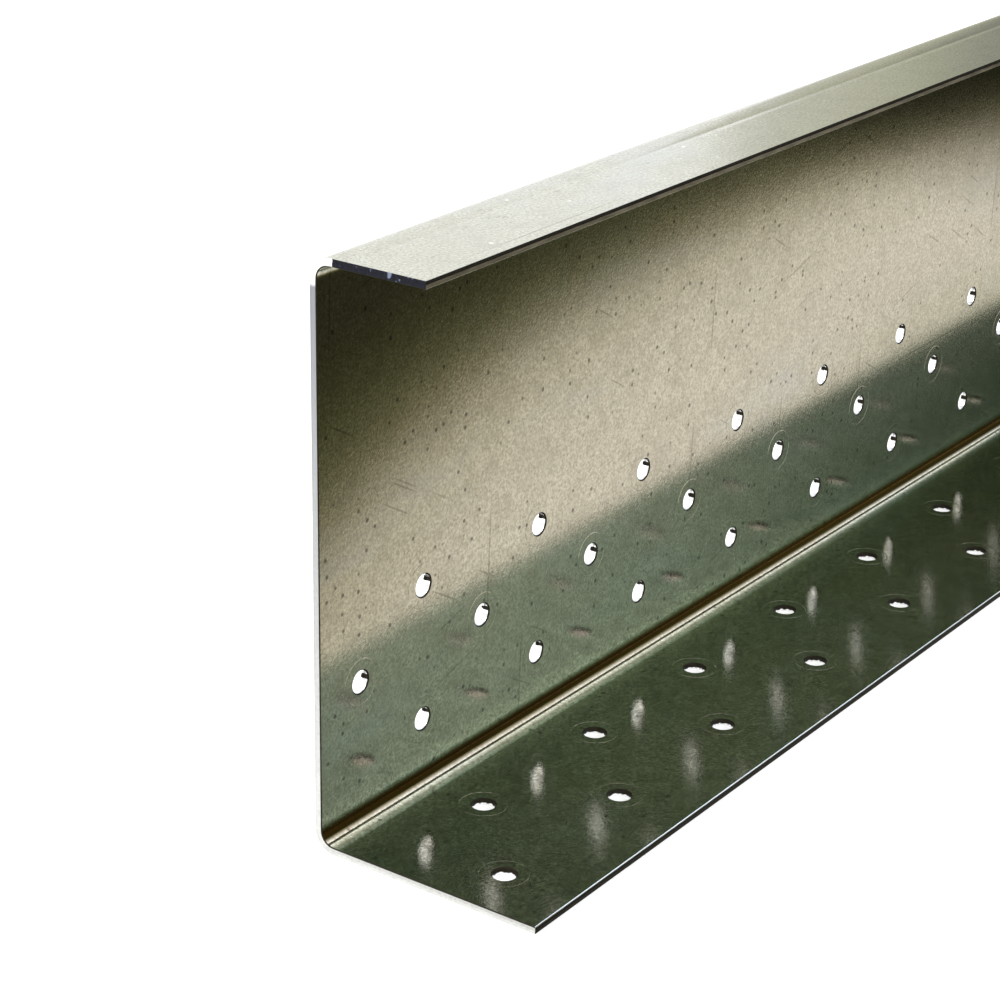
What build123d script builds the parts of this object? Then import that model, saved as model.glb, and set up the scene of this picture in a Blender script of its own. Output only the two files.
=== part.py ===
"""Slab edge form: one length of galvanised steel sheet, punched and then folded to an unequal C.

Frame: X runs along the length, Y across it and Z up. The origin is at the middle of the
length and of the wide bottom flange, on the underside. The back of the web is on the +Y
side and both flanges point to -Y.
"""

from build123d import *
import os

# Sheet and profile. Widths and heights are overall sizes, to the outer faces.
length = 1000.0
height = 152.0
bottom_flange_width = 66.0
top_flange_width = 33.0
sheet_thickness = 2.0
inner_bend_radius = 3.5

# Nail holes: five rows at one pitch. Neighbouring rows are half a pitch apart along the length.
hole_diameter = 6.0
hole_pitch = 50.0
holes_per_row = 20
near_start = 15.5
far_start = near_start + hole_pitch / 2

# Each row of the web: height above the underside, and first hole from the -X end.
web_rows = {
    "lower": (20.0, far_start),
    "middle": (40.0, near_start),
    "upper": (57.0, far_start),
}

# Each row of the bottom flange: distance from the web's back, and first hole from the -X end.
flange_rows = {
    "inner": (21.5, far_start),
    "outer": (46.0, near_start),
}

# Worked out from the sizes above.
outer_bend_radius = inner_bend_radius + sheet_thickness
back_y = bottom_flange_width / 2
front_y = -back_y
top_lip_y = back_y - top_flange_width
start_x = -length / 2
row_span = hole_pitch * (holes_per_row - 1)

# The folded sheet's cross-section in (Y, Z), from the bottom lip's underside round the outside
# of the sheet to the top lip, and back along the inside. Each corner has its bend radius.
section = {
    "bottom_lip_outside": (front_y, 0, 0),
    "bottom_bend_outside": (back_y, 0, outer_bend_radius),
    "top_bend_outside": (back_y, height, outer_bend_radius),
    "top_lip_outside": (top_lip_y, height, 0),
    "top_lip_inside": (top_lip_y, height - sheet_thickness, 0),
    "top_bend_inside": (back_y - sheet_thickness, height - sheet_thickness, inner_bend_radius),
    "bottom_bend_inside": (back_y - sheet_thickness, sheet_thickness, inner_bend_radius),
    "bottom_lip_inside": (front_y, sheet_thickness, 0),
}
corners = [(y, z) for y, z, radius in section.values()]
corner_radii = [radius for y, z, radius in section.values()]

section_plane = Plane.YZ.offset(start_x)
web_front_plane = Plane.XZ.offset(sheet_thickness - back_y)
flange_top_plane = Plane.XY.offset(sheet_thickness)


def hole_row(first_hole, across):
    """One row of round holes along X, at the given place across the sheet."""
    row_middle = start_x + first_hole + row_span / 2
    with Locations((row_middle, across)):
        with GridLocations(hole_pitch, 0, holes_per_row, 1):
            Circle(hole_diameter / 2)


with BuildPart() as folded_edge_profile:
    with BuildSketch(section_plane):
        with BuildLine():
            FilletPolyline(*corners, radius=corner_radii, close=True)
        make_face()
    extrude(amount=length)

    with BuildSketch(web_front_plane):
        for row_height, first_hole in web_rows.values():
            hole_row(first_hole, row_height)
    extrude(amount=-sheet_thickness, mode=Mode.SUBTRACT)

    with BuildSketch(flange_top_plane):
        for from_back, first_hole in flange_rows.values():
            hole_row(first_hole, back_y - from_back)
    extrude(amount=-sheet_thickness, mode=Mode.SUBTRACT)

folded_edge_profile.part.label = "folded_edge_profile"

os.makedirs("parts", exist_ok=True)
export_step(folded_edge_profile.part, "parts/folded_edge_profile.step")
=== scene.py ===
"""Slab edge form: one length of galvanised sheet, punched flat and folded to an unequal C.

The sheet is built flat, as a blank with its punched holes and cut edges, and then folded. A point
of the blank has three coordinates in millimetres: x along the length from the middle, s across
the flat sheet from the bottom lip to the top lip, and n from the middle of the sheet's
thickness towards the inside of the C.
"""

import math
import random

import bmesh
import bpy
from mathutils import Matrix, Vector
from mathutils.geometry import delaunay_2d_cdt


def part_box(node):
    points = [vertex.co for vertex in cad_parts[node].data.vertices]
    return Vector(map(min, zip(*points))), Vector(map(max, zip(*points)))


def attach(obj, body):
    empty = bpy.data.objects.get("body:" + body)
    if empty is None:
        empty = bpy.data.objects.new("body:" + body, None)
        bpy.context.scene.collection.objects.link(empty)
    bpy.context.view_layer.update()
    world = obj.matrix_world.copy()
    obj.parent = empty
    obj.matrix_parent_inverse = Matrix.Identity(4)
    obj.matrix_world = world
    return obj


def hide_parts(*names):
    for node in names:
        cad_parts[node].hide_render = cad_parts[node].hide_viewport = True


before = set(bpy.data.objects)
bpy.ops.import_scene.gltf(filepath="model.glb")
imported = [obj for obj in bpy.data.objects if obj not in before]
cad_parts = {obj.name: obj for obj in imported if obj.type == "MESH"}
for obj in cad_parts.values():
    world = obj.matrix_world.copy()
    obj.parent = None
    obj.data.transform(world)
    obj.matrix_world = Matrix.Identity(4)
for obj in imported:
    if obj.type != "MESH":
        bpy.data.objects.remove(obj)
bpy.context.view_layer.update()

MM = 0.001
NODE = "folded_edge_profile"
low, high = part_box(NODE)

# The sheet, from the frame and from its gauge.
LENGTH = (high.x - low.x) / MM
HEIGHT = (high.z - low.z) / MM
BACK_Y = high.y / MM
FRONT_Y = low.y / MM
TOP_FLANGE_WIDTH = 33.0
THICKNESS = 2.0
HALF = THICKNESS / 2
OUTER_BEND = 5.5

# A folded corner is an arc that runs out gently into the flats. These are the arc's radius at
# the middle of the sheet, and each run-out's length and turn.
MIDDLE_BEND = OUTER_BEND - HALF
RUN_OUT = 2.5
RUN_OUT_TURN = math.radians(5)
BEND_LENGTH = 2 * RUN_OUT + MIDDLE_BEND * (math.pi / 2 - 2 * RUN_OUT_TURN)
BEND_STEPS = 300


def corner_turn(along):
    """How far the sheet has turned at a distance into a bend, in radians."""
    if along > BEND_LENGTH / 2:
        return math.pi / 2 - corner_turn(BEND_LENGTH - along)
    if along < RUN_OUT:
        return RUN_OUT_TURN * (along / RUN_OUT) ** 3
    return RUN_OUT_TURN + (along - RUN_OUT) / MIDDLE_BEND


def corner_path():
    """The sheet's middle line through a bend: how far each step is forward and aside."""
    step = BEND_LENGTH / BEND_STEPS
    forward, aside = 0.0, 0.0
    path = [(forward, aside)]
    for k in range(BEND_STEPS):
        turn = corner_turn((k + 0.5) * step)
        forward += step * math.cos(turn)
        aside += step * math.sin(turn)
        path.append((forward, aside))
    return path


CORNER_PATH = corner_path()
CORNER = CORNER_PATH[-1][0]

# Where the flats and the bends begin, across the blank.
BOTTOM_BEND = BACK_Y - FRONT_Y - HALF - CORNER
WEB = BOTTOM_BEND + BEND_LENGTH
TOP_BEND = WEB + HEIGHT - 2 * (HALF + CORNER)
TOP_FLANGE = TOP_BEND + BEND_LENGTH
BLANK_WIDTH = TOP_FLANGE + TOP_FLANGE_WIDTH - HALF - CORNER

# The rows of nail holes: where each lies across the blank, and its first hole from the -X end.
HOLE_RADIUS = 3.0
HOLE_PITCH = 50.0
HOLES_PER_ROW = 20
NEAR_START = 15.5
FAR_START = NEAR_START + HOLE_PITCH / 2
HOLE_ROWS = {
    "flange_outer": (BACK_Y - 46.0 - FRONT_Y, NEAR_START),
    "flange_inner": (BACK_Y - 21.5 - FRONT_Y, FAR_START),
    "web_lower": (WEB + 20.0 - HALF - CORNER, FAR_START),
    "web_middle": (WEB + 40.0 - HALF - CORNER, NEAR_START),
    "web_upper": (WEB + 57.0 - HALF - CORNER, FAR_START),
}

ZINC, RIM, BURNISH, FRACTURE, BRIGHT_WALL, PALE_END, DARK_END = range(7)
# The rounded edge of the struck face. Its material depends on which edge it is.
ROUNDING = "rounding"


def through_bend(along):
    """A point of the middle line at a distance into a bend, or before or after it: how far it is
    forward and aside, and how far the sheet has turned there."""
    if along <= 0:
        return along, 0.0, 0.0
    if along >= BEND_LENGTH:
        return CORNER, CORNER + along - BEND_LENGTH, math.pi / 2
    steps = along / BEND_LENGTH * BEND_STEPS
    k = int(steps)
    forward, aside = CORNER_PATH[k]
    next_forward, next_aside = CORNER_PATH[k + 1]
    share = steps - k
    forward += share * (next_forward - forward)
    aside += share * (next_aside - aside)
    return forward, aside, corner_turn(along)


def fold(x, s, n):
    """The place of a blank's point once the sheet is folded, in millimetres."""
    first_bend = s < (WEB + TOP_BEND) / 2
    forward, aside, turn = through_bend(s - BOTTOM_BEND if first_bend else s - TOP_BEND)
    forward -= n * math.sin(turn)
    aside += n * math.cos(turn)
    if first_bend:
        return x, BACK_Y - HALF - CORNER + forward, HALF + aside
    return x, BACK_Y - HALF - aside, HEIGHT - HALF - CORNER + forward


def hole_centres():
    """Every hole's centre on the blank, as (x, s)."""
    for across, first in HOLE_ROWS.values():
        for k in range(HOLES_PER_ROW):
            yield first + k * HOLE_PITCH - LENGTH / 2, across


# The slit edges and the cut ends, from the struck inner face to the outer face: setback of the
# metal from the nominal edge, n, how ragged the edge is there, and the material of the next band.
EDGE_RINGS = (
    (0.22, HALF, 0.0, ROUNDING),
    (0.10, HALF - 0.06, 0.0, ROUNDING),
    (0.0, HALF - 0.22, 0.0, BURNISH),
    (0.0, -0.10, 0.01, FRACTURE),
    (0.06, -0.22, 0.05, FRACTURE),
    (0.10, -0.62, 0.05, FRACTURE),
    (0.09, -HALF + 0.07, 0.04, FRACTURE),
    (0.12, -HALF, 0.02, ZINC),
)
# The punched holes, in the same way, with how unevenly deep the smooth upper band goes as well.
HOLE_RINGS = (
    (0.34, HALF, 0.03, 0.0, RIM),
    (0.21, HALF - 0.05, 0.0, 0.0, RIM),
    (0.08, HALF - 0.16, 0.0, 0.0, RIM),
    (0.0, HALF - 0.34, 0.0, 0.0, BURNISH),
    (0.0, -0.28, 0.01, 0.24, FRACTURE),
    (0.03, -0.58, 0.04, 0.05, FRACTURE),
    (0.06, -0.78, 0.05, 0.0, FRACTURE),
    (0.06, -HALF + 0.05, 0.04, 0.0, FRACTURE),
    (0.12, -HALF, 0.02, 0.0, ZINC),
)
# Round a hole the punch's stripper has pressed a fine ring into the struck face. Setback from the
# hole's edge, and n.
STRIPPER_RINGS = ((3.8, HALF), (3.40, HALF), (3.30, HALF), (3.20, HALF - 0.025), (3.10, HALF),
                  (3.00, HALF), (0.8, HALF), (0.5, HALF))
BACK_RINGS = ((0.3, -HALF), (0.45, -HALF))
HOLE_SIDES = 40
# A web hole's wall is torn at one place: how far in, over what angle, and over what dark angle.
TEAR_DEPTH = 0.75
TEAR_WIDTH = 0.18
TEAR_DARK_WIDTH = 0.24
# The face stops this far from the sheet's edges, and the rings of the cut edge fill the rest.
EDGE_BAND = 0.9
# The cut ends are rounder than the slit lips: their setback is this many times as much.
END_SHARE = 1.3
# The dark cut across the top flange starts this far before the bend's end.
DARK_END_LEAD = 1.0


class Blank:
    """The flat sheet's mesh: points (x, s, n), and faces with their material."""

    def __init__(self):
        self.points = []
        self.faces = []

    def add(self, x, s, n):
        self.points.append((x, s, n))
        return len(self.points) - 1

    def bridge(self, ring, following, material):
        """Quads between two closed rings of equal length, in one material or one for each quad."""
        for k in range(len(ring)):
            after = (k + 1) % len(ring)
            quad = (ring[k], ring[after], following[after], following[k])
            self.faces.append((quad, material if isinstance(material, int) else material[k]))


def stations(start, end, step):
    """Evenly spaced values from start to end, no further apart than step."""
    count = max(1, math.ceil((end - start) / step - 1e-6))
    return [start + (end - start) * k / count for k in range(count + 1)]


# The marks that the shoulders of the bending die leave along the outer face, each side of a bend:
# the distance from the bend, half the width, the depth, and the clear space beside a mark.
DIE_MARK = 4.0
DIE_MARK_HALF = 0.35
DIE_MARK_DEPTH = 0.035
DIE_MARK_CLEAR = 1.2
DIE_MARKS = (BOTTOM_BEND - DIE_MARK, WEB + DIE_MARK, TOP_BEND - DIE_MARK, TOP_FLANGE + DIE_MARK)


def across_stations():
    """Where the blank has lines of points along its length: dense in the bends and at die marks."""
    lines = set()
    for start, end, step in (
        (EDGE_BAND, BOTTOM_BEND, 7.0),
        (BOTTOM_BEND, WEB, 0.5),
        (WEB, TOP_BEND, 9.0),
        (TOP_BEND, TOP_FLANGE, 0.5),
        (TOP_FLANGE, BLANK_WIDTH - EDGE_BAND, 7.0),
    ):
        for s in stations(start, end, step):
            if all(abs(s - mark) > DIE_MARK_CLEAR for mark in DIE_MARKS):
                lines.add(round(s, 4))
    for mark in DIE_MARKS:
        lines.update(round(mark + offset, 4) for offset in (-DIE_MARK_HALF, 0.0, DIE_MARK_HALF))
    return sorted(lines)


def near_hole(x, s, clear):
    """True if a point of the blank is within clear of a hole's centre."""
    for across, first in HOLE_ROWS.values():
        if abs(s - across) < clear:
            along = (x + LENGTH / 2 - first) / HOLE_PITCH
            nearest = min(max(round(along), 0), HOLES_PER_ROW - 1)
            if math.hypot((along - nearest) * HOLE_PITCH, s - across) < clear:
                return True
    return False


def circle(centre, radius):
    """Points round a hole's centre on the blank."""
    x, s = centre
    angles = [2 * math.pi * k / HOLE_SIDES for k in range(HOLE_SIDES)]
    return [(x + radius * math.cos(a), s + radius * math.sin(a)) for a in angles]


def face_pattern():
    """One flat triangulation of the sheet's face, shared by its inside and its outside.
    Returns its points, its faces, the outline's loop and each hole's loop."""
    ends = LENGTH / 2 - EDGE_BAND
    columns = [round(x, 4) for x in stations(-ends, ends, 12.5)]
    rows = across_stations()
    points, index = [], {}

    def point(x, s):
        key = (round(x, 4), round(s, 4))
        if key not in index:
            index[key] = len(points)
            points.append(Vector((x, s)))
        return index[key]

    outline = [point(x, rows[0]) for x in columns]
    outline += [point(columns[-1], s) for s in rows[1:]]
    outline += [point(x, rows[-1]) for x in reversed(columns[:-1])]
    outline += [point(columns[0], s) for s in reversed(rows[1:-1])]
    loops = []
    patch = HOLE_RADIUS + STRIPPER_RINGS[0][0]
    for centre in hole_centres():
        loops.append([point(x, s) for x, s in circle(centre, patch)])
    for s in rows:
        for x in columns:
            if not near_hole(x, s, patch + 1.5):
                point(x, s)
    edges = []
    for loop in [outline, *loops]:
        edges += [(loop[k], loop[(k + 1) % len(loop)]) for k in range(len(loop))]
    made, _, faces, origins, _, _ = delaunay_2d_cdt(points, edges, [], 0, 1e-5)
    if len(made) != len(points):
        raise ValueError("the triangulation merged or split points")
    order = {new: old[0] for new, old in enumerate(origins)}
    hole_of = {}
    for number, loop in enumerate(loops):
        for vertex in loop:
            hole_of[vertex] = number
    kept = []
    for face in faces:
        face = [order[v] for v in face]
        owners = {hole_of.get(v) for v in face}
        if len(owners) > 1 or None in owners:
            kept.append(face)
    return points, kept, outline, loops


def die_mark_depth(s):
    """How far the outer face is pressed in along a die mark."""
    for mark in DIE_MARKS:
        if abs(s - mark) < 0.01:
            return DIE_MARK_DEPTH
    return 0.0


def add_hole(blank, inner_loop, outer_loop, centre, rng):
    """The stripper's ring, the drawn-down rim and the wall of one punched hole, with its tear."""
    ring = inner_loop
    for setback, n in STRIPPER_RINGS[1:]:
        points = circle(centre, HOLE_RADIUS + setback)
        following = [blank.add(x, s, n) for x, s in points]
        blank.bridge(ring, following, ZINC)
        ring = following
    wall = hole_wall(centre)
    material = ZINC
    tear = rng.uniform(-0.1, 0.6)
    if centre[1] < WEB:
        tear = None
    for setback, n, ragged, uneven, next_material in HOLE_RINGS:
        following = []
        for k in range(HOLE_SIDES):
            angle = 2 * math.pi * k / HOLE_SIDES
            radius = HOLE_RADIUS + setback + ragged * rng.uniform(-1.0, 1.0)
            if material == FRACTURE and tear is not None:
                radius -= TEAR_DEPTH * math.exp(-((angle_between(angle, tear) / TEAR_WIDTH) ** 2))
            depth = n + uneven * rng.uniform(-1.0, 1.0)
            x = centre[0] + radius * math.cos(angle)
            following.append(blank.add(x, centre[1] + radius * math.sin(angle), depth))
        blank.bridge(ring, following, wall_materials(wall, material, tear))
        ring, material = following, next_material
    for setback, n in BACK_RINGS:
        points = circle(centre, HOLE_RADIUS + setback)
        following = [blank.add(x, s, n) for x, s in points]
        blank.bridge(ring, following, ZINC)
        ring = following
    blank.bridge(ring, outer_loop, ZINC)


def hole_wall(centre):
    """The materials of a hole's smooth upper wall and of its lower wall. The flange's holes are
    near black in their upper walls, painted shade, and the web's are bright."""
    # Painted shade: a flange hole's upper wall is near black, where a web hole's is bright.
    return {BURNISH: RIM if centre[1] < BOTTOM_BEND else BRIGHT_WALL, FRACTURE: BRIGHT_WALL}


def wall_materials(wall, material, tear):
    """The material of one band of a hole, as wall says, or of each quad where the tear is dark."""
    if material not in wall or tear is None:
        return wall.get(material, material)
    angles = [2 * math.pi * (k + 0.5) / HOLE_SIDES for k in range(HOLE_SIDES)]
    return [RIM if angle_between(a, tear) < TEAR_DARK_WIDTH else wall[material] for a in angles]


def angle_between(a, b):
    """The smaller angle from b to a, either way."""
    return abs((a - b + math.pi) % (2 * math.pi) - math.pi)


def add_cut_edge(blank, inner_loop, outer_loop, rng):
    """The cut edge that runs round the whole sheet: both slit lips and both cut ends."""
    half_length = LENGTH / 2
    places = [blank.points[v][:2] for v in inner_loop]
    sides = list(zip(places, places[1:] + places[:1]))
    ring, material = inner_loop, ZINC
    for setback, n, ragged, next_material in EDGE_RINGS:
        following = []
        for x, s in places:
            inset = setback + ragged * rng.uniform(0.0, 1.0)
            x = pushed_out(x, -half_length, half_length, inset * END_SHARE)
            s = pushed_out(s, 0.0, BLANK_WIDTH, inset)
            following.append(blank.add(x, s, n))
        blank.bridge(ring, following, [edge_material(material, *pair) for pair in sides])
        ring, material = following, next_material
    blank.bridge(ring, outer_loop, ZINC)


def edge_material(material, place, following_place):
    """The top lip keeps the bands of a slit edge. The bottom lip's rounding is a painted highlight,
    and below it the lip is torn and black with painted contact shadow. The ends of the sheet are
    cut in one plain band below a dark rounding."""
    across = (place[1] + following_place[1]) / 2
    if material == ZINC:
        return ZINC
    if place[0] != following_place[0]:
        bottom_lip = across < BOTTOM_BEND
        # On the bottom lip the rounding is near-white zinc, a painted highlight, and the cut below it is
        # black with painted contact shadow.
        if material == ROUNDING:
            return BRIGHT_WALL if bottom_lip else ZINC
        return FRACTURE if bottom_lip else material
    if material == ROUNDING:
        return RIM
    return DARK_END if across > TOP_FLANGE - DARK_END_LEAD else PALE_END


def pushed_out(value, start, end, inset):
    """A point of the outline, moved out to inset from the sheet's edge. Others stay."""
    if value < start + EDGE_BAND + 0.01:
        return start + inset
    if value > end - EDGE_BAND - 0.01:
        return end - inset
    return value


def punched_blank():
    """The whole flat sheet."""
    rng = random.Random(7)
    blank = Blank()
    points, faces, outline, loops = face_pattern()
    inner = [blank.add(p.x, p.y, HALF) for p in points]
    outer = [blank.add(p.x, p.y, -HALF + die_mark_depth(p.y)) for p in points]
    for face in faces:
        blank.faces.append((tuple(inner[v] for v in face), ZINC))
        blank.faces.append((tuple(outer[v] for v in reversed(face)), ZINC))
    add_cut_edge(blank, [inner[v] for v in outline], [outer[v] for v in outline], rng)
    for centre, loop in zip(hole_centres(), loops):
        add_hole(blank, [inner[v] for v in loop], [outer[v] for v in loop], centre, rng)
    return blank


def waviness(x, s):
    """The slight oil-canning of a long folded sheet, always towards the inside."""
    if not WEB < s < TOP_BEND:
        return 0.0
    across = math.sin(math.pi * (s - WEB) / (TOP_BEND - WEB)) ** 2
    along = 1 + 0.6 * math.sin(x / 61 + 0.6) + 0.4 * math.sin(x / 23 + s / 40)
    return 0.07 * across * along


SHARP_ANGLE = math.radians(50)


def sheet_object(name):
    """The folded sheet as a Blender object, in metres."""
    blank = punched_blank()
    vertices = []
    for x, s, n in blank.points:
        vertices.append([c * MM for c in fold(x, s, n + waviness(x, s))])
    mesh = bpy.data.meshes.new(name)
    mesh.from_pydata(vertices, [], [face for face, _ in blank.faces])
    mesh.polygons.foreach_set("material_index", [material for _, material in blank.faces])
    tidied = bmesh.new()
    tidied.from_mesh(mesh)
    bmesh.ops.recalc_face_normals(tidied, faces=tidied.faces)
    bmesh.ops.join_triangles(
        tidied, faces=[f for f in tidied.faces if len(f.verts) == 3],
        angle_face_threshold=math.radians(1), angle_shape_threshold=math.radians(30), cmp_materials=True,
    )
    for face in tidied.faces:
        face.smooth = True
    for edge in tidied.edges:
        materials = {face.material_index for face in edge.link_faces}
        edge.smooth = len(materials) == 1 and edge.calc_face_angle() < SHARP_ANGLE
    tidied.to_mesh(mesh)
    tidied.free()
    made = bpy.data.objects.new(name, mesh)
    bpy.context.scene.collection.objects.link(made)
    return made


class Nodes:
    """A node tree, with short ways to add and join nodes: a material's unless an owner is given."""

    def __init__(self, name, owner=None):
        self.owner = owner or bpy.data.materials.new(name)
        self.owner.use_nodes = True
        self.tree = self.owner.node_tree
        self.shader = self.tree.nodes["Background" if owner else "Principled BSDF"]
        place = self.tree.nodes.new("ShaderNodeTexCoord")
        self.place = place.outputs["Generated" if owner else "Object"]

    def add(self, kind, inputs=(), **settings):
        node = self.tree.nodes.new(kind)
        for key, value in settings.items():
            setattr(node, key, value)
        for key, value in dict(inputs).items():
            self.put(value, node.inputs[key])
        return node

    def put(self, value, socket):
        if isinstance(value, bpy.types.NodeSocket):
            self.tree.links.new(value, socket)
        else:
            socket.default_value = value

    def stretched(self, scale, turn=(0.0, 0.0, 0.0)):
        """The object's coordinates, turned and then scaled, so that a pattern runs in streaks."""
        turned = self.add("ShaderNodeMapping", {"Vector": self.place, "Rotation": turn})
        return self.add("ShaderNodeMapping", {"Vector": turned.outputs[0], "Scale": scale}).outputs[0]

    def noise(self, scale, detail=2.0, roughness=0.5, vector=None):
        inputs = {"Vector": vector or self.place, "Scale": scale, "Detail": detail, "Roughness": roughness}
        return self.add("ShaderNodeTexNoise", inputs).outputs["Fac"]

    def ramp(self, value, start, end, low=0.0, high=1.0):
        """value from start to end, as low to high, clamped."""
        inputs = {"Value": value, "From Min": start, "From Max": end, "To Min": low, "To Max": high}
        return self.add("ShaderNodeMapRange", inputs).outputs[0]

    def math(self, operation, a, b=0.0):
        return self.add("ShaderNodeMath", {0: a, 1: b}, operation=operation).outputs[0]

    def mix(self, share, a, b):
        """Colour a where share is 0 and b where it is 1."""
        return self.add("ShaderNodeMix", {0: share, 6: a, 7: b}, data_type="RGBA").outputs[2]

    def bump(self, height, strength, distance, normal=None):
        inputs = {"Height": height, "Strength": strength, "Distance": distance}
        if normal:
            inputs["Normal"] = normal
        return self.add("ShaderNodeBump", inputs).outputs[0]

    def finish(self, **sockets):
        for key, value in sockets.items():
            self.put(value, self.shader.inputs[key.replace("_", " ")])
        return self.owner


def scratches(nodes, turn, width, length, share):
    """Straight tapered scratches that all run one way: 1 on a scratch, 0 off it. Each lies in a
    long thin cell, and only a share of the cells has one."""
    vector = nodes.stretched((1 / length, 1 / width, 1 / width), turn)
    cells = nodes.add("ShaderNodeTexVoronoi", {"Vector": vector, "Scale": 1.0})
    chance = nodes.add("ShaderNodeSeparateColor", {0: cells.outputs["Color"]}).outputs[0]
    stroke = nodes.ramp(cells.outputs["Distance"], 0.42, 0.25)
    return nodes.math("MULTIPLY", stroke, nodes.math("LESS_THAN", chance, share))


def zinc_colour(nodes, mottle, patches):
    """The colour of clean zinc: fine mottle in patches, grey-blue bloom and a few brown stains."""
    cloud = nodes.noise(26.0, 4.0, 0.6)
    bloom = nodes.noise(22.0, 4.0, 0.65, nodes.stretched((0.35, 1.0, 1.5)))
    stain = nodes.noise(40.0, 4.0, 0.7, nodes.stretched((1.6, 1.0, 0.5)))
    colour = nodes.mix(nodes.ramp(mottle, 0.32, 0.68), (0.37, 0.355, 0.27, 1), (0.72, 0.69, 0.57, 1))
    for share, tint in (
        (nodes.ramp(patches, 0.45, 0.75, 0.0, 0.45), (0.36, 0.34, 0.26, 1)),
        (nodes.ramp(cloud, 0.5, 0.72, 0.0, 0.3), (0.47, 0.45, 0.36, 1)),
        (nodes.ramp(bloom, 0.52, 0.7, 0.0, 0.3), (0.52, 0.58, 0.60, 1)),
        (nodes.ramp(stain, 0.62, 0.76, 0.0, 0.35), (0.30, 0.24, 0.17, 1)),
    ):
        colour = nodes.mix(share, colour, tint)
    return colour


def specked(nodes, colour):
    """A colour with dark specks, fewer to see on the top face, and now and then a bright one."""
    cells = nodes.add("ShaderNodeTexVoronoi", {"Vector": nodes.place, "Scale": 330.0, "Randomness": 1.0})
    chance = nodes.add("ShaderNodeSeparateColor", {0: cells.outputs["Color"]})
    height = nodes.add("ShaderNodeSeparateXYZ", {0: nodes.place}).outputs["Z"]
    speck = nodes.ramp(cells.outputs["Distance"], 0.24, 0.13)
    dark = nodes.math("MULTIPLY", speck, nodes.math("GREATER_THAN", chance.outputs[0], 0.76))
    dark = nodes.math("MULTIPLY", dark, nodes.ramp(height, 0.1505, 0.1515, 1.0, 0.25))
    bright = nodes.math("MULTIPLY", speck, nodes.math("GREATER_THAN", chance.outputs[1], 0.985))
    colour = nodes.mix(nodes.math("MULTIPLY", dark, 0.75), colour, (0.09, 0.085, 0.07, 1))
    return nodes.mix(nodes.math("MULTIPLY", bright, 0.8), colour, (0.95, 0.94, 0.88, 1))


# Handling scratches: how they run in degrees from the length, width, length, and their share.
SCRATCHES = (
    (0, 0.0008, 0.090, 0.008),
    (16, 0.0008, 0.030, 0.012),
    (-30, 0.0008, 0.016, 0.010),
    (88, 0.0009, 0.040, 0.014),
)


def scratched(nodes, colour):
    """A colour with dark handling scratches."""
    marks = 0.0
    for degrees, width, length, share in SCRATCHES:
        some = scratches(nodes, (0.0, math.radians(degrees), 0.0), width, length, share)
        marks = nodes.math("MAXIMUM", some, marks)
    return nodes.mix(nodes.math("MULTIPLY", marks, 0.45), colour, (0.15, 0.14, 0.10, 1))


def zinc_material():
    """Hot-dip zinc: a fine mottled grain, semi-gloss, with specks, stains and scratches, painted
    shade in the bottom bend, and a thin dark film on the bottom flange."""
    nodes = Nodes("galvanised_face")
    grain = nodes.noise(1900.0, 2.0, 0.6)
    mottle = nodes.noise(1250.0, 3.0, 0.7)
    patches = nodes.noise(150.0, 4.0, 0.65)
    colour = scratched(nodes, specked(nodes, zinc_colour(nodes, mottle, patches)))
    # Painted shade: the hollow of the bottom bend is darkened towards brown.
    colour = nodes.mix(bend_painted_shade(nodes), colour, (0.17, 0.10, 0.04, 1))
    out_on_flange = across_flange(nodes)
    film = nodes.ramp(out_on_flange, 0.0, 0.006)
    blotches = nodes.math("MULTIPLY", nodes.ramp(patches, 0.3, 0.7, 0.34, 0.50), film)
    blotches = nodes.math("MULTIPLY", blotches, nodes.ramp(mottle, 0.35, 0.65, 1.4, 0.65))
    colour = nodes.mix(blotches, colour, (0.12, 0.12, 0.09, 1))
    rough = nodes.ramp(grain, 0.3, 0.7, 0.05, 0.13)
    flange_rough = nodes.ramp(out_on_flange, 0.012, 0.035, 0.6, 1.3)
    rough = nodes.math("MULTIPLY", rough, nodes.ramp(film, 0.0, 1.0, 1.0, flange_rough))
    bowed = nodes.math("ADD", 1.0, nodes.math("MULTIPLY", out_on_flange, FLANGE_BOW))
    relief = nodes.bump(nodes.math("MULTIPLY", out_on_flange, bowed), 1.0, FLANGE_LEAN)
    relief = nodes.bump(grain, 0.09, 0.0001, relief)
    relief = nodes.bump(mottle, 0.06, 0.0002, relief)
    return nodes.finish(Base_Color=colour, Metallic=1.0, Roughness=rough, Normal=relief)


# The bottom flange is folded a little past square, as a slope, and bows up towards its lip, as
# the slope's growth for each metre. It shows only in its reflections.
FLANGE_LEAN = 0.029
FLANGE_BOW = 14.0


def across_flange(nodes):
    """How far across the bottom flange a point is from its bend, in metres, and 0 elsewhere."""
    parts = nodes.add("ShaderNodeSeparateXYZ", {0: nodes.place})
    bend_start = (BACK_Y - HALF - CORNER) * MM
    across = nodes.math("MAXIMUM", nodes.math("SUBTRACT", bend_start, parts.outputs["Y"]), 0.0)
    low_down = nodes.math("LESS_THAN", parts.outputs["Z"], HEIGHT * MM / 2)
    return nodes.math("MULTIPLY", across, low_down)


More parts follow.
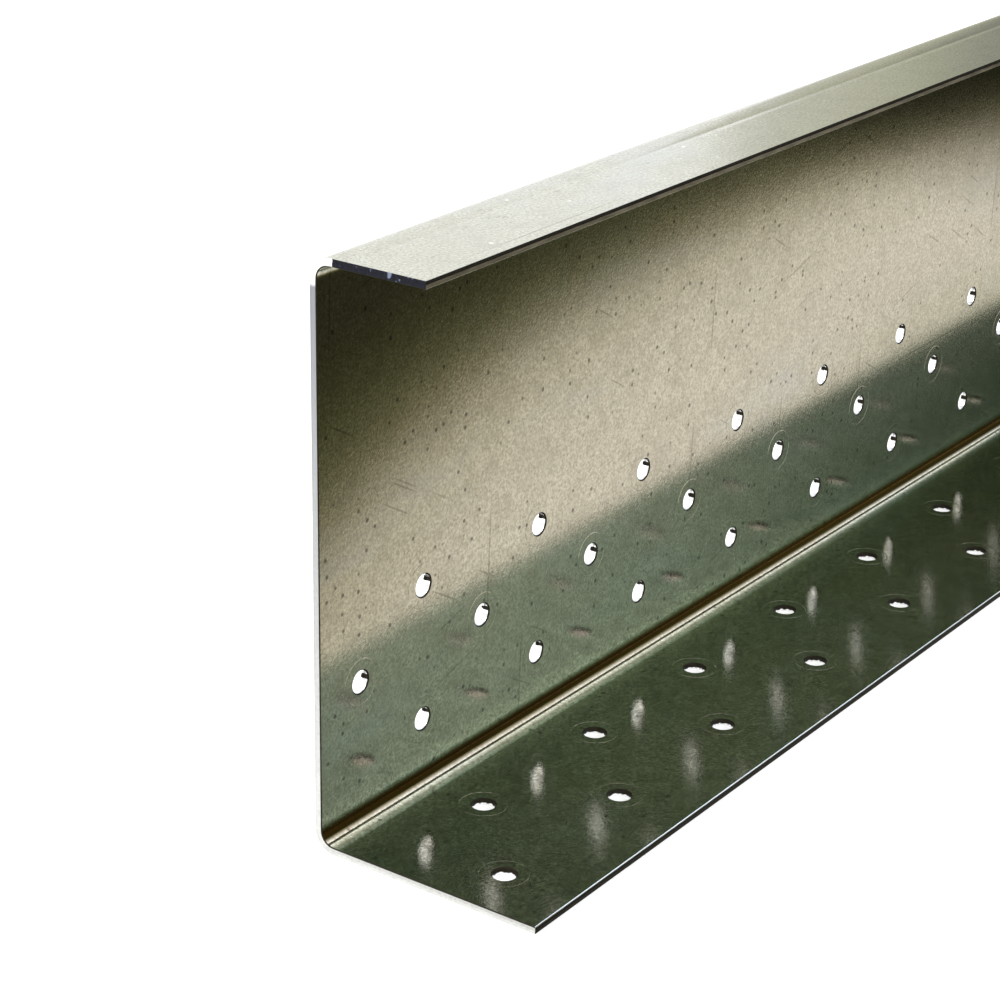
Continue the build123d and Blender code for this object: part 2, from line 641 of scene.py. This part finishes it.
def bend_painted_shade(nodes):
    """Painted shade in the hollow of the bottom bend, on the inside only: most on the middle of the
    arc, little on its lower part, and 0 elsewhere. The turn is in degrees from the web."""
    parts = nodes.add("ShaderNodeSeparateXYZ", {0: nodes.place})
    centre = HALF + CORNER
    down = nodes.math("SUBTRACT", centre * MM, parts.outputs["Z"])
    out = nodes.math("SUBTRACT", parts.outputs["Y"], (BACK_Y - centre) * MM)
    turn = nodes.math("DEGREES", nodes.math("ARCTAN2", down, out))
    down_squared = nodes.math("MULTIPLY", down, down)
    squared = nodes.math("ADD", down_squared, nodes.math("MULTIPLY", out, out))
    inside = nodes.math("LESS_THAN", squared, ((CORNER + 0.3) * MM) ** 2)
    start = nodes.math("MULTIPLY", inside, nodes.ramp(turn, 14.0, 26.0))
    return nodes.math("MULTIPLY", start, nodes.ramp(turn, 57.0, 46.0, 0.05, 0.85))


def rim_material():
    """Near black and dull: on the rims of the holes, round the cut ends, and in the flange holes'
    upper walls, where it is painted shade.
    """
    nodes = Nodes("edge_rim")
    grain = nodes.noise(1200.0, 2.0, 0.6)
    colour = nodes.mix(grain, (0.008, 0.007, 0.005, 1), (0.05, 0.045, 0.03, 1))
    rough = nodes.ramp(grain, 0.3, 0.7, 0.45, 0.65)
    return nodes.finish(Base_Color=colour, Metallic=0.3, Roughness=rough, Specular_IOR_Level=0.1)


def burnish_material():
    """The smooth part of a slit edge, where the slitter rubbed the steel."""
    nodes = Nodes("cut_edge_burnish")
    streaks = nodes.noise(600.0, 2.0, 0.5, nodes.stretched((0.25, 1.0, 1.0)))
    colour = nodes.mix(streaks, (0.36, 0.31, 0.23, 1), (0.62, 0.57, 0.46, 1))
    return nodes.finish(Base_Color=colour, Metallic=1.0, Roughness=nodes.ramp(streaks, 0.3, 0.7, 0.3, 0.5))


def fracture_and_shade_material():
    """The torn part of a cut edge: dark, dull and rough. On the bottom lip its black also stands in
    for painted contact shadow.
    """
    nodes = Nodes("cut_edge_fracture_and_shade")
    grain = nodes.noise(1400.0, 3.0, 0.7)
    colour = nodes.mix(grain, (0.003, 0.003, 0.002, 1), (0.035, 0.028, 0.02, 1))
    relief = nodes.bump(grain, 0.8, 0.0003)
    return nodes.finish(
        Base_Color=colour, Metallic=0.2, Roughness=0.75, Specular_IOR_Level=0.1, Normal=relief,
    )


def bright_wall_material():
    """The clean wall of a punched hole, bright zinc. On the rounding of the bottom lip the same
    near-white zinc is a painted highlight.
    """
    nodes = Nodes("hole_wall")
    grain = nodes.noise(900.0, 2.0, 0.6)
    colour = nodes.mix(grain, (0.86, 0.87, 0.90, 1), (0.96, 0.96, 0.97, 1))
    return nodes.finish(Base_Color=colour, Metallic=1.0, Roughness=nodes.ramp(grain, 0.3, 0.7, 0.25, 0.4))


def pale_end_material():
    """The cut across the web and the bottom flange: clean pale steel, greyer towards the top, and
    a painted highlight on the top bend."""
    nodes = Nodes("pale_cut_end")
    grain = nodes.noise(900.0, 3.0, 0.6)
    parts = nodes.add("ShaderNodeSeparateXYZ", {0: nodes.place})
    height = nodes.ramp(parts.outputs["Z"], 0.01, HEIGHT * MM)
    colour = nodes.mix(height, (0.72, 0.72, 0.70, 1), (0.23, 0.235, 0.27, 1))
    colour = nodes.mix(nodes.ramp(grain, 0.35, 0.65, 0.0, 0.25), colour, (0.28, 0.28, 0.30, 1))
    top_bend = (HEIGHT - HALF - CORNER) * MM
    # Painted highlight: the cut end of the top bend is made near white.
    bend_painted_highlight = nodes.ramp(parts.outputs["Z"], top_bend, top_bend + MM)
    colour = nodes.mix(bend_painted_highlight, colour, (0.97, 0.97, 0.97, 1))
    return nodes.finish(Base_Color=colour, Metallic=0.2, Roughness=0.5)


def dark_end_material():
    """The cut across the top flange: near black and rough, with bluish patches."""
    nodes = Nodes("dark_cut_end")
    grain = nodes.noise(1100.0, 3.0, 0.7)
    patches = nodes.ramp(nodes.noise(330.0, 2.0, 0.6), 0.56, 0.64)
    colour = nodes.mix(grain, (0.004, 0.004, 0.006, 1), (0.03, 0.03, 0.045, 1))
    colour = nodes.mix(patches, colour, (0.22, 0.26, 0.36, 1))
    relief = nodes.bump(grain, 0.8, 0.0003)
    return nodes.finish(
        Base_Color=colour, Metallic=0.3, Roughness=0.6, Specular_IOR_Level=0.1, Normal=relief,
    )


sheet = sheet_object("galvanised_edge_form")
for make_material in (
    zinc_material, rim_material, burnish_material, fracture_and_shade_material,
    bright_wall_material, pale_end_material, dark_end_material,
):
    sheet.data.materials.append(make_material())
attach(sheet, "root")
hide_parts(NODE)


def flat_piece(name, outline, height, material):
    """A flat sheet of the studio, at one height, from its outline in metres."""
    mesh = bpy.data.meshes.new(name)
    mesh.from_pydata([(x, y, height) for x, y in outline], [], [tuple(range(len(outline)))])
    mesh.materials.append(material)
    made = bpy.data.objects.new(name, mesh)
    bpy.context.scene.collection.objects.link(made)
    return made


def studio_floor():
    """A pale floor that glows a little, as a light table does."""
    colour = (0.93, 0.93, 0.92, 1)
    nodes = Nodes("pale_floor")
    white = nodes.finish(Base_Color=colour, Roughness=0.9, Emission_Color=colour, Emission_Strength=0.6)
    side = 14.0
    return flat_piece("floor", [(-side, -side), (side, -side), (side, side), (-side, side)], 0.0, white)


def graded_flag():
    """A graded card on the floor in front, seen only in reflections: it dims the floor away from
    the sheet, almost to black beyond a curved edge, and less so far along and under the sheet."""
    nodes = Nodes("graded_flag")
    parts = nodes.add("ShaderNodeSeparateXYZ", {0: nodes.place})
    from_middle = nodes.math("SUBTRACT", parts.outputs["X"], FLAG_EDGE_X)
    bend = nodes.math("MULTIPLY", nodes.math("MULTIPLY", from_middle, from_middle), FLAG_EDGE_BEND)
    inside = nodes.math("SUBTRACT", parts.outputs["Y"], nodes.math("ADD", bend, FLAG_EDGE_Y))
    far_along = nodes.ramp(parts.outputs["X"], 0.11, 0.26, 0.94, 0.50)
    under_sheet = nodes.ramp(parts.outputs["Y"], -0.0335, -0.0325, 1.0, 0.50)
    material = nodes.finish(
        Base_Color=(0, 0, 0, 1), Specular_IOR_Level=0.0,
        Emission_Color=graded(nodes, inside, FLAG_STOPS),
        Emission_Strength=nodes.math("MULTIPLY", far_along, under_sheet),
    )
    outline = [(-1.5, -3.0), (4.0, -3.0), (4.0, 0.03), (-1.5, 0.03)]
    flag = flat_piece("floor_flag", outline, 0.001, material)
    flag.visible_camera = False
    flag.visible_diffuse = False
    flag.visible_shadow = False


# The flag's dark edge is a shallow curve, in metres: it is furthest from the sheet at X, Y.
FLAG_EDGE_X, FLAG_EDGE_Y, FLAG_EDGE_BEND = 0.096, -0.190, 0.467
FLAG_STOPS = (
    (-0.060, (0.030, 0.030, 0.015)),
    (-0.042, (0.050, 0.052, 0.024)),
    (-0.028, (0.078, 0.080, 0.035)),
    (-0.018, (0.110, 0.113, 0.055)),
    (-0.009, (0.165, 0.162, 0.088)),
    (0.000, (0.265, 0.248, 0.155)),
    (0.009, (0.46, 0.42, 0.32)),
    (0.018, (0.69, 0.64, 0.545)),
    (0.028, (0.82, 0.775, 0.67)),
    (0.047, (0.96, 0.905, 0.84)),
    (0.065, (1.07, 1.02, 0.955)),
    (0.085, (1.11, 1.05, 1.0)),
    (0.112, (1.09, 1.03, 0.98)),
    (0.130, (1.02, 0.98, 0.92)),
    (0.142, (0.95, 0.92, 0.83)),
)


def set_stops(ramp, stops):
    """Gives a colour ramp its stops, as (position, colour)."""
    elements = ramp.color_ramp.elements
    while len(elements) < len(stops):
        elements.new(0.5)
    for element, (position, colour) in zip(elements, stops):
        element.position = position
        element.color = (*colour, 1)


def studio_world():
    """A room with a bright panel beyond the back of the sheet. Towards +X, where the flange and
    the bend look, it is dark low down and bright high up, and darker towards the middle.
    Directions are in degrees: azimuth from +X to +Y, and elevation."""
    world = bpy.data.worlds.new("studio")
    bpy.context.scene.world = world
    nodes = Nodes("studio", world)
    parts = nodes.add("ShaderNodeSeparateXYZ", {0: nodes.place})
    azimuth = nodes.math("DEGREES", nodes.math("ARCTAN2", parts.outputs["Y"], parts.outputs["X"]))
    elevation = nodes.math("DEGREES", nodes.math("ARCSINE", parts.outputs["Z"]))
    walls = graded(nodes, azimuth, WALL_COLOURS)
    slant = nodes.math("MULTIPLY", nodes.ramp(azimuth, -50.0, -20.0, -50.0, -20.0), DARK_SIDE_SLANT)
    slanted = nodes.math("ADD", elevation, slant)
    low_room = graded(nodes, slanted, DARK_SIDE_COLOURS)
    shade = graded(nodes, azimuth, DARK_SIDE_SHADE)
    inputs = {0: 1.0, 6: low_room, 7: shade}
    shaded = nodes.add("ShaderNodeMix", inputs, data_type="RGBA", blend_type="MULTIPLY")
    high_room = graded(nodes, slanted, HIGH_PANEL_COLOURS)
    dark_side = nodes.mix(nodes.ramp(slanted, *HIGH_PANEL_EDGE), shaded.outputs[2], high_room)
    room = nodes.mix(nodes.ramp(azimuth, *DARK_SIDE_LEFT_EDGE), dark_side, walls)
    room = nodes.mix(nodes.ramp(azimuth, *DARK_SIDE_RIGHT_EDGE), room, walls)
    room = nodes.mix(nodes.ramp(elevation, *OVERHEAD_EDGE), room, OVERHEAD_COLOUR)
    return nodes.finish(Color=room, Strength=1.0)


def graded(nodes, angle, stops):
    """The colour at an angle, between stops of (degrees, colour)."""
    start, end = stops[0][0], stops[-1][0]
    ramp = nodes.add("ShaderNodeValToRGB", {0: nodes.ramp(angle, start, end)})
    set_stops(ramp, [((degrees - start) / (end - start), colour) for degrees, colour in stops])
    return ramp.outputs["Color"]


OVERHEAD_EDGE = (50.0, 65.0)
OVERHEAD_COLOUR = (0.35, 0.36, 0.34, 1)
WALL_COLOURS = (
    (-100, (1.0, 0.99, 0.96)),
    (15, (0.04, 0.04, 0.035)),
    (25, (0.36, 0.375, 0.33)),
    (27, (0.59, 0.61, 0.50)),
    (30.3, (0.82, 0.84, 0.80)),
    (31.3, (1.24, 1.28, 1.33)),
    (60, (1.24, 1.28, 1.33)),
    (75, (1.0, 0.99, 0.96)),
)
# The dark side lies between these azimuths, and its light rises with the elevation plus this
# share of the azimuth. The high panel starts where the two add up to its edge.
DARK_SIDE_LEFT_EDGE = (8.0, 14.0)
DARK_SIDE_RIGHT_EDGE = (-60.0, -95.0)
DARK_SIDE_SLANT = 0.5
HIGH_PANEL_EDGE = (12.5, 15.0)
DARK_SIDE_COLOURS = (
    (0, (0.16, 0.135, 0.035)),
    (3, (0.13, 0.12, 0.040)),
    (4.5, (0.135, 0.165, 0.080)),
    (6.2, (0.195, 0.295, 0.205)),
    (7, (0.220, 0.335, 0.235)),
    (8, (0.230, 0.345, 0.245)),
    (9, (0.240, 0.355, 0.260)),
    (9.8, (0.310, 0.450, 0.375)),
    (10.7, (0.740, 1.030, 1.000)),
    (11.6, (1.040, 1.370, 1.330)),
    (13, (1.05, 1.33, 1.35)),
    (15, (1.05, 1.28, 1.32)),
)
DARK_SIDE_SHADE = (
    (-60, (1.2, 1.2, 1.2)),
    (-45, (0.65, 0.65, 0.65)),
    (-38, (0.72, 0.72, 0.74)),
    (-35.5, (0.98, 0.98, 1.0)),
    (-33, (1.0, 1.0, 1.0)),
    (-31, (0.90, 0.90, 0.90)),
    (-29, (0.80, 0.80, 0.79)),
    (-27.5, (0.64, 0.65, 0.62)),
    (-26, (0.42, 0.43, 0.40)),
    (-23, (0.27, 0.29, 0.26)),
    (-15, (0.15, 0.15, 0.15)),
)
HIGH_PANEL_COLOURS = (
    (12, (0.50, 0.60, 0.65)),
    (14.5, (0.74, 0.86, 0.92)),
    (16.3, (1.00, 1.14, 1.22)),
    (19.6, (1.80, 2.00, 2.25)),
    (26, (2.05, 2.25, 2.55)),
    (33, (2.30, 2.50, 2.85)),
)


def area_light(name, place, target, size, power):
    """A soft box at place, facing target, in metres and watts."""
    data = bpy.data.lights.new(name, "AREA")
    data.shape = "RECTANGLE"
    data.size, data.size_y = size
    data.energy = power
    light = bpy.data.objects.new(name, data)
    light.location = place
    light.rotation_euler = (Vector(target) - Vector(place)).to_track_quat("-Z", "Y").to_euler()
    bpy.context.scene.collection.objects.link(light)


def photo_camera():
    """The camera at the near end, looking along the sheet and a little down on it."""
    data = bpy.data.cameras.new("camera")
    data.lens = 96.335
    data.sensor_width = 36.0
    camera = bpy.data.objects.new("camera", data)
    camera.location = (-0.9429, -0.3373, 0.3277)
    camera.rotation_euler = [math.radians(a) for a in (67.834, -0.938, -54.071)]
    bpy.context.scene.collection.objects.link(camera)
    bpy.context.scene.camera = camera


studio_floor()
graded_flag()
studio_world()
area_light("key_softbox", (-1.2, 1.4, 2.0), (0, 0, 0), (1.6, 1.2), 25)
photo_camera()
bpy.context.scene.view_settings.view_transform = "Standard"
